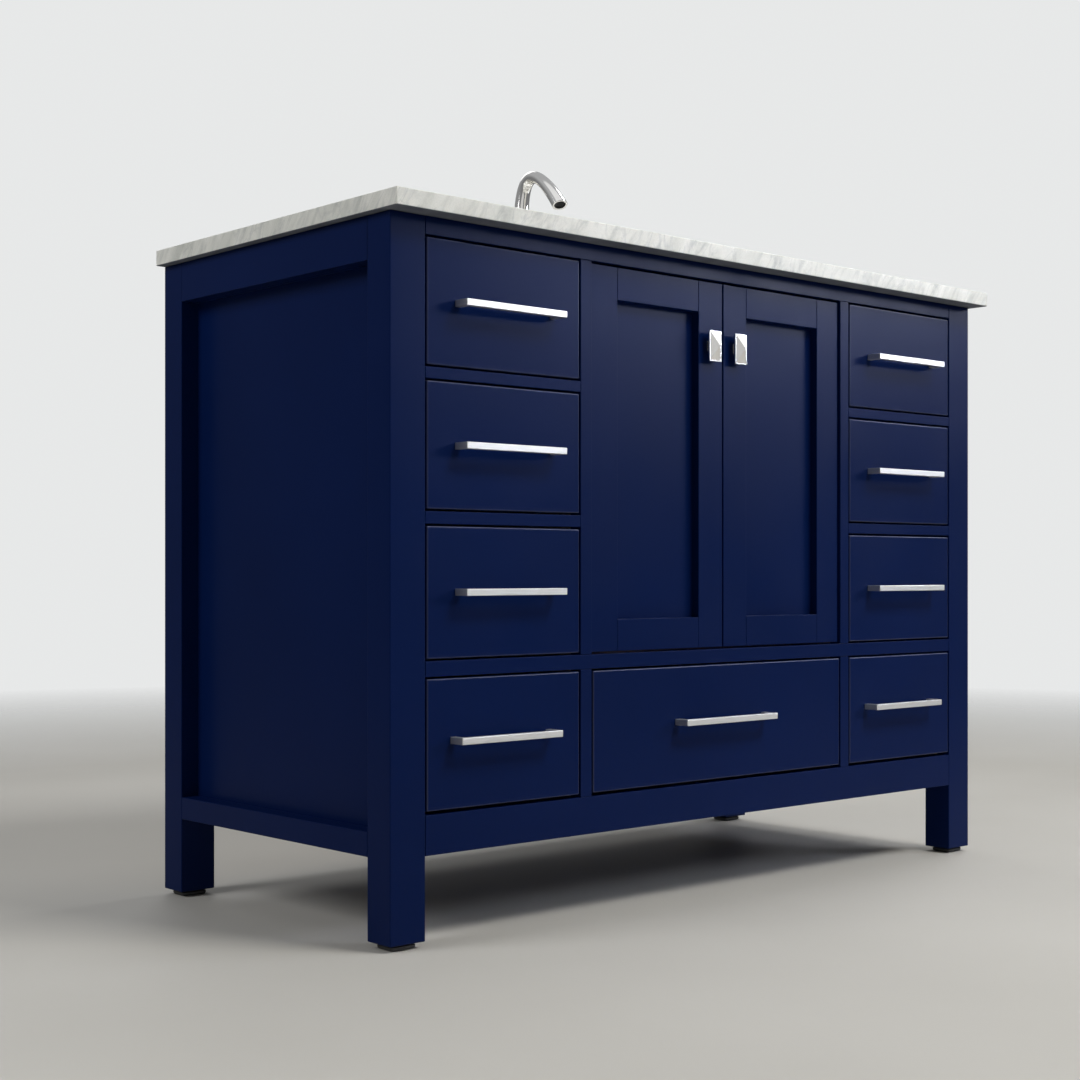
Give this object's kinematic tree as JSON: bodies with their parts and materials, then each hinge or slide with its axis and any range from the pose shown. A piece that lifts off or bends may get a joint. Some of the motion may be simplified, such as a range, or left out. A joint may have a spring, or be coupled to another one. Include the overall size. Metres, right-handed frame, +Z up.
{
  "type": "bathroom vanity cabinet",
  "caption": "Free-standing bathroom vanity with inset drawers, framed doors, square legs, a stone top with an undermounted basin, and a widespread faucet.",
  "frame": {"origin": "middle of the footprint, on the floor", "axes": "+Z up, the cabinet faces -Y, +X to the right of someone facing its front"},
  "size_m": [1.2192, 0.5588, 1.0971],
  "materials": {
    "navy_paint": "satin navy paint on hardwood and fibreboard",
    "marble": "polished, white with fine grey veins",
    "porcelain": "glazed",
    "brushed_nickel": "brushed nickel plate",
    "chrome": "polished",
    "birch": "clear lacquered birch plywood",
    "steel": "zinc plated",
    "foot_plastic": "moulded"
  },
  "bodies": {
    "cabinet": {"post_front_left": "navy_paint", "post_front_right": "navy_paint", "post_back_left": "navy_paint", "post_back_right": "navy_paint", "foot_pad_front_left": "foot_plastic", "foot_pad_front_right": "foot_plastic", "foot_pad_back_left": "foot_plastic", "foot_pad_back_right": "foot_plastic", "side_panel_left": "navy_paint", "side_panel_right": "navy_paint", "partition_left": "birch", "partition_right": "birch", "face_frame": "navy_paint", "bottom_panel": "birch", "bay_floor": "birch", "back_panel": "birch", "countertop": "marble", "basin": "porcelain", "drain_body": "chrome", "faucet_spout": "chrome", "hinge_lower_left": "steel", "hinge_lower_right": "steel", "hinge_upper_left": "steel", "hinge_upper_right": "steel"},
    "drawer_left_1": {"drawer_left_1_front": "navy_paint", "drawer_left_1_box": "birch", "drawer_left_1_pull": "brushed_nickel"},
    "drawer_left_2": {"drawer_left_2_front": "navy_paint", "drawer_left_2_box": "birch", "drawer_left_2_pull": "brushed_nickel"},
    "drawer_left_3": {"drawer_left_3_front": "navy_paint", "drawer_left_3_box": "birch", "drawer_left_3_pull": "brushed_nickel"},
    "drawer_left_4": {"drawer_left_4_front": "navy_paint", "drawer_left_4_box": "birch", "drawer_left_4_pull": "brushed_nickel"},
    "drawer_right_1": {"drawer_right_1_front": "navy_paint", "drawer_right_1_box": "birch", "drawer_right_1_pull": "brushed_nickel"},
    "drawer_right_2": {"drawer_right_2_front": "navy_paint", "drawer_right_2_box": "birch", "drawer_right_2_pull": "brushed_nickel"},
    "drawer_right_3": {"drawer_right_3_front": "navy_paint", "drawer_right_3_box": "birch", "drawer_right_3_pull": "brushed_nickel"},
    "drawer_right_4": {"drawer_right_4_front": "navy_paint", "drawer_right_4_box": "birch", "drawer_right_4_pull": "brushed_nickel"},
    "drawer_centre": {"drawer_centre_front": "navy_paint", "drawer_centre_box": "birch", "drawer_centre_pull": "brushed_nickel"},
    "door_left": {"door_frame_left": "navy_paint", "door_panel_left": "navy_paint", "door_knob_left": "brushed_nickel"},
    "door_right": {"door_frame_right": "navy_paint", "door_panel_right": "navy_paint", "door_knob_right": "brushed_nickel"},
    "handle_left": {"faucet_handle_left": "chrome"},
    "handle_right": {"faucet_handle_right": "chrome"},
    "stopper": {"drain_stopper": "chrome"}
  },
  "joints": [
    {"name": "drawer_left_1_slide", "type": "slide", "parent": "cabinet", "child": "drawer_left_1", "axis": [0, -1, 0], "range_m": [0, 0.33]},
    {"name": "drawer_left_2_slide", "type": "slide", "parent": "cabinet", "child": "drawer_left_2", "axis": [0, -1, 0], "range_m": [0, 0.33]},
    {"name": "drawer_left_3_slide", "type": "slide", "parent": "cabinet", "child": "drawer_left_3", "axis": [0, -1, 0], "range_m": [0, 0.33]},
    {"name": "drawer_left_4_slide", "type": "slide", "parent": "cabinet", "child": "drawer_left_4", "axis": [0, -1, 0], "range_m": [0, 0.33]},
    {"name": "drawer_right_1_slide", "type": "slide", "parent": "cabinet", "child": "drawer_right_1", "axis": [0, -1, 0], "range_m": [0, 0.33]},
    {"name": "drawer_right_2_slide", "type": "slide", "parent": "cabinet", "child": "drawer_right_2", "axis": [0, -1, 0], "range_m": [0, 0.33]},
    {"name": "drawer_right_3_slide", "type": "slide", "parent": "cabinet", "child": "drawer_right_3", "axis": [0, -1, 0], "range_m": [0, 0.33]},
    {"name": "drawer_right_4_slide", "type": "slide", "parent": "cabinet", "child": "drawer_right_4", "axis": [0, -1, 0], "range_m": [0, 0.33]},
    {"name": "drawer_centre_slide", "type": "slide", "parent": "cabinet", "child": "drawer_centre", "axis": [0, -1, 0], "range_m": [0, 0.33]},
    {"name": "door_left_hinge", "type": "hinge", "parent": "cabinet", "child": "door_left", "pos_m": [-0.2597, -0.2474, 0.6094], "axis": [0, 0, -1], "range_deg": [0, 90]},
    {"name": "door_right_hinge", "type": "hinge", "parent": "cabinet", "child": "door_right", "pos_m": [0.2597, -0.2474, 0.6094], "axis": [0, 0, 1], "range_deg": [0, 90]},
    {"name": "handle_left_turn", "type": "hinge", "parent": "cabinet", "child": "handle_left", "pos_m": [-0.1016, 0.183, 0.9144], "axis": [0, 0, 1], "range_deg": [0, 90]},
    {"name": "handle_right_turn", "type": "hinge", "parent": "cabinet", "child": "handle_right", "pos_m": [0.1016, 0.183, 0.9144], "axis": [0, 0, -1], "range_deg": [0, 90]},
    {"name": "stopper_lift", "type": "slide", "parent": "cabinet", "child": "stopper", "axis": [0, 0, 1], "range_m": [0, 0.01]}
  ]
}
